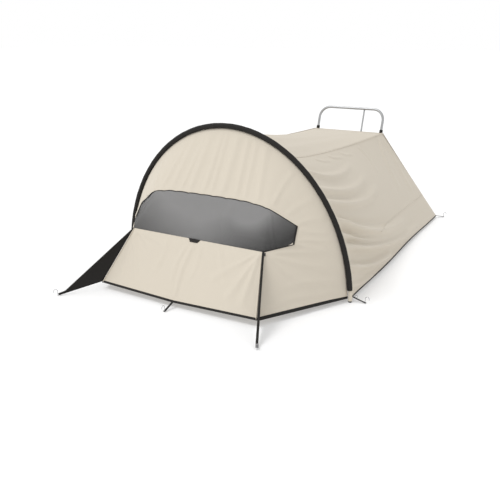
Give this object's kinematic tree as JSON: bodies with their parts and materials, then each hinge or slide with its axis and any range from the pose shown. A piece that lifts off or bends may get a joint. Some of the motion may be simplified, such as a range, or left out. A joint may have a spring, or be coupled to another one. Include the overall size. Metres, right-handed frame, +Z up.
{
  "type": "folding cot with shelter",
  "caption": "Folding camp cot with sling deck, tilting backrest and foot bow, under a pegged one-person hoop shelter with a mesh window and a zipped front flap.",
  "frame": {"origin": "on the ground at the middle of the pitched shelter's footprint, pegs included", "axes": "+Z up; -Y towards the door flap; +Y towards the foot bow and the tail; +X to the right of someone who stands behind the tail and looks towards +Y, which is the left side of a sleeper who lies on the back with the head at the hoop"},
  "size_m": [2.0356, 3.3544, 1.0707],
  "materials": {
    "cover_canvas": "matt proofed woven cloth, sand beige",
    "black_cloth": "matt woven nylon and webbing",
    "insect_mesh": "fine knitted insect mesh, dark grey",
    "sling_cloth": "heavy coated polyester weave",
    "cot_aluminium": "satin anodised round tube",
    "peg_steel": "plated round wire",
    "black_rubber": "moulded, matt",
    "black_plastic": "moulded, satin",
    "pole_plastic": "pultruded glass fibre rod"
  },
  "bodies": {
    "shelter": {"hoop_pole": "pole_plastic", "pole_sleeve": "black_cloth", "hoop_cup_right": "black_plastic", "hoop_cup_left": "black_plastic", "canopy_face": "cover_canvas", "canopy_side_right": "cover_canvas", "canopy_side_left": "cover_canvas", "window_mesh": "insect_mesh", "roof_panel": "cover_canvas", "side_wall_right": "cover_canvas", "side_wall_left": "cover_canvas", "tail_wall": "cover_canvas", "tail_mesh": "insect_mesh", "bow_cuff_right": "black_cloth", "bow_cuff_left": "black_cloth", "guy_wing_right": "black_cloth", "guy_wing_left": "black_cloth", "hoop_strap_right": "black_cloth", "hoop_strap_left": "black_cloth", "tail_strap_right": "black_cloth", "tail_strap_left": "black_cloth", "front_strap": "black_cloth", "peg_wing_right": "peg_steel", "peg_wing_left": "peg_steel", "peg_hoop_right": "peg_steel", "peg_hoop_left": "peg_steel", "peg_tail_right": "peg_steel", "peg_tail_left": "peg_steel", "peg_front": "peg_steel"},
    "door": {"door_flap": "cover_canvas", "flap_tab": "black_cloth"},
    "zip_right": {"zip_slider_right": "black_plastic"},
    "zip_left": {"zip_slider_left": "black_plastic"},
    "bed": {"head_frame": "cot_aluminium", "foot_frame": "cot_aluminium", "frame_coupler_right": "black_plastic", "frame_coupler_left": "black_plastic", "backrest_pivot_tube": "cot_aluminium", "deck_sling": "sling_cloth", "bow_saddle_right": "cot_aluminium", "bow_saddle_left": "cot_aluminium", "head_leg_bracket": "cot_aluminium", "mid_leg_bracket": "cot_aluminium", "foot_leg_bracket": "cot_aluminium"},
    "backrest": {"backrest_frame": "cot_aluminium", "backrest_sling": "sling_cloth"},
    "head_leg_pair": {"head_legs": "cot_aluminium", "head_shoe_right": "black_rubber", "head_shoe_left": "black_rubber"},
    "mid_leg_pair": {"mid_legs": "cot_aluminium", "mid_shoe_right": "black_rubber", "mid_shoe_left": "black_rubber"},
    "foot_leg_pair": {"foot_legs": "cot_aluminium", "foot_shoe_right": "black_rubber", "foot_shoe_left": "black_rubber"},
    "bow": {"foot_bow": "cot_aluminium", "bow_crossbar": "cot_aluminium", "bow_stay": "cot_aluminium"}
  },
  "joints": [
    {"name": "bed_lower", "type": "slide", "parent": "shelter", "child": "bed", "axis": [0, 0, 1], "range_m": [-0.236, 0], "deforming": ["hoop_pole", "pole_sleeve", "canopy_face", "canopy_side_right", "canopy_side_left", "window_mesh", "roof_panel", "side_wall_right", "side_wall_left", "tail_wall", "tail_mesh", "bow_cuff_right", "bow_cuff_left", "guy_wing_right", "guy_wing_left", "hoop_strap_right", "hoop_strap_left", "tail_strap_right", "tail_strap_left", "front_strap", "door_flap", "flap_tab"]},
    {"name": "head_legs_fold", "type": "hinge", "parent": "bed", "child": "head_leg_pair", "pos_m": [0, -0.49918, 0.257], "axis": [1, 0, 0], "range_deg": [0, 90]},
    {"name": "mid_legs_fold", "type": "hinge", "parent": "bed", "child": "mid_leg_pair", "pos_m": [0, 0.29582, 0.257], "axis": [1, 0, 0], "range_deg": [0, 90]},
    {"name": "foot_legs_fold", "type": "hinge", "parent": "bed", "child": "foot_leg_pair", "pos_m": [0, 0.94082, 0.257], "axis": [-1, 0, 0], "range_deg": [0, 90]},
    {"name": "bow_fold", "type": "hinge", "parent": "bed", "child": "bow", "pos_m": [0, 1.00882, 0.322], "axis": [1, 0, 0], "range_deg": [0, 106]},
    {"name": "backrest_tilt", "type": "hinge", "parent": "bed", "child": "backrest", "pos_m": [0, -0.04918, 0.285], "axis": [-1, 0, 0], "range_deg": [0, 50]},
    {"name": "door_open", "type": "hinge", "parent": "shelter", "child": "door", "pos_m": [0, -1.39918, 0.045], "axis": [1, 0, 0], "range_deg": [0, 115]},
    {"name": "zip_right_slide", "type": "slide", "parent": "shelter", "child": "zip_right", "axis": [0.2398, -0.5474, -0.8018], "range_m": [0, 0.33]},
    {"name": "zip_left_slide", "type": "slide", "parent": "shelter", "child": "zip_left", "axis": [-0.2398, -0.5474, -0.8018], "range_m": [0, 0.33]}
  ],
  "couplings": [
    {"joint": "head_legs_fold", "follows": "bed_lower", "rad_per_m": -6.6559},
    {"joint": "mid_legs_fold", "follows": "bed_lower", "rad_per_m": -6.6559},
    {"joint": "foot_legs_fold", "follows": "bed_lower", "rad_per_m": -6.6559},
    {"joint": "bow_fold", "follows": "bed_lower", "rad_per_m": -7.8392},
    {"joint": "zip_right_slide", "follows": "door_open", "m_per_rad": 0.16441},
    {"joint": "zip_left_slide", "follows": "door_open", "m_per_rad": 0.16441}
  ]
}
